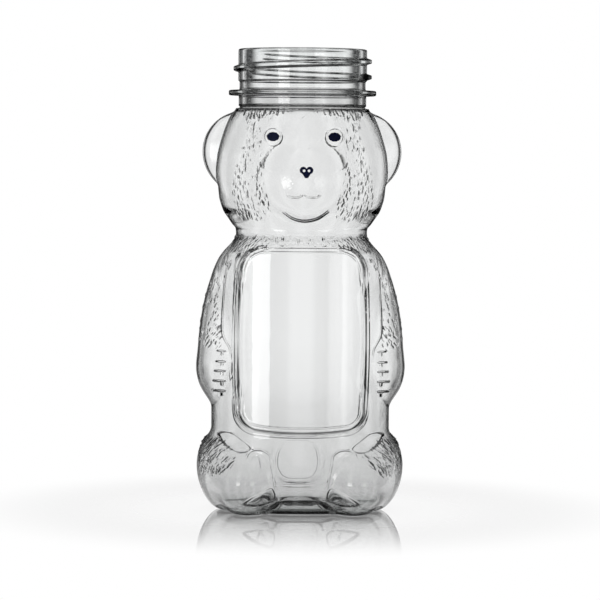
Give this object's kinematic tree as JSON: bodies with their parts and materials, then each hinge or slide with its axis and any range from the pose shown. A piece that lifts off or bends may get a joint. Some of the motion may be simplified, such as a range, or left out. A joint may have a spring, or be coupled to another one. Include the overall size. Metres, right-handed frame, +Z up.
{
  "type": "honey bear bottle",
  "caption": "Clear bear-shaped honey bottle with an open 38 mm screw neck, hollow body, two label panels and printed eyes and nose.",
  "frame": {"origin": "middle of the flat base that the bottle stands on", "axes": "+Z up through the middle of the mouth, the bear's face looks along -Y, its left ear points along +X"},
  "size_m": [0.0562, 0.05, 0.1253],
  "materials": {
    "clear_plastic": "clear polyester, glossy",
    "navy_ink": "pad-printed ink, satin"
  },
  "bodies": {
    "root": {"bottle": "clear_plastic", "left_eye_print": "navy_ink", "right_eye_print": "navy_ink", "nose_print": "navy_ink"}
  },
  "joints": []
}
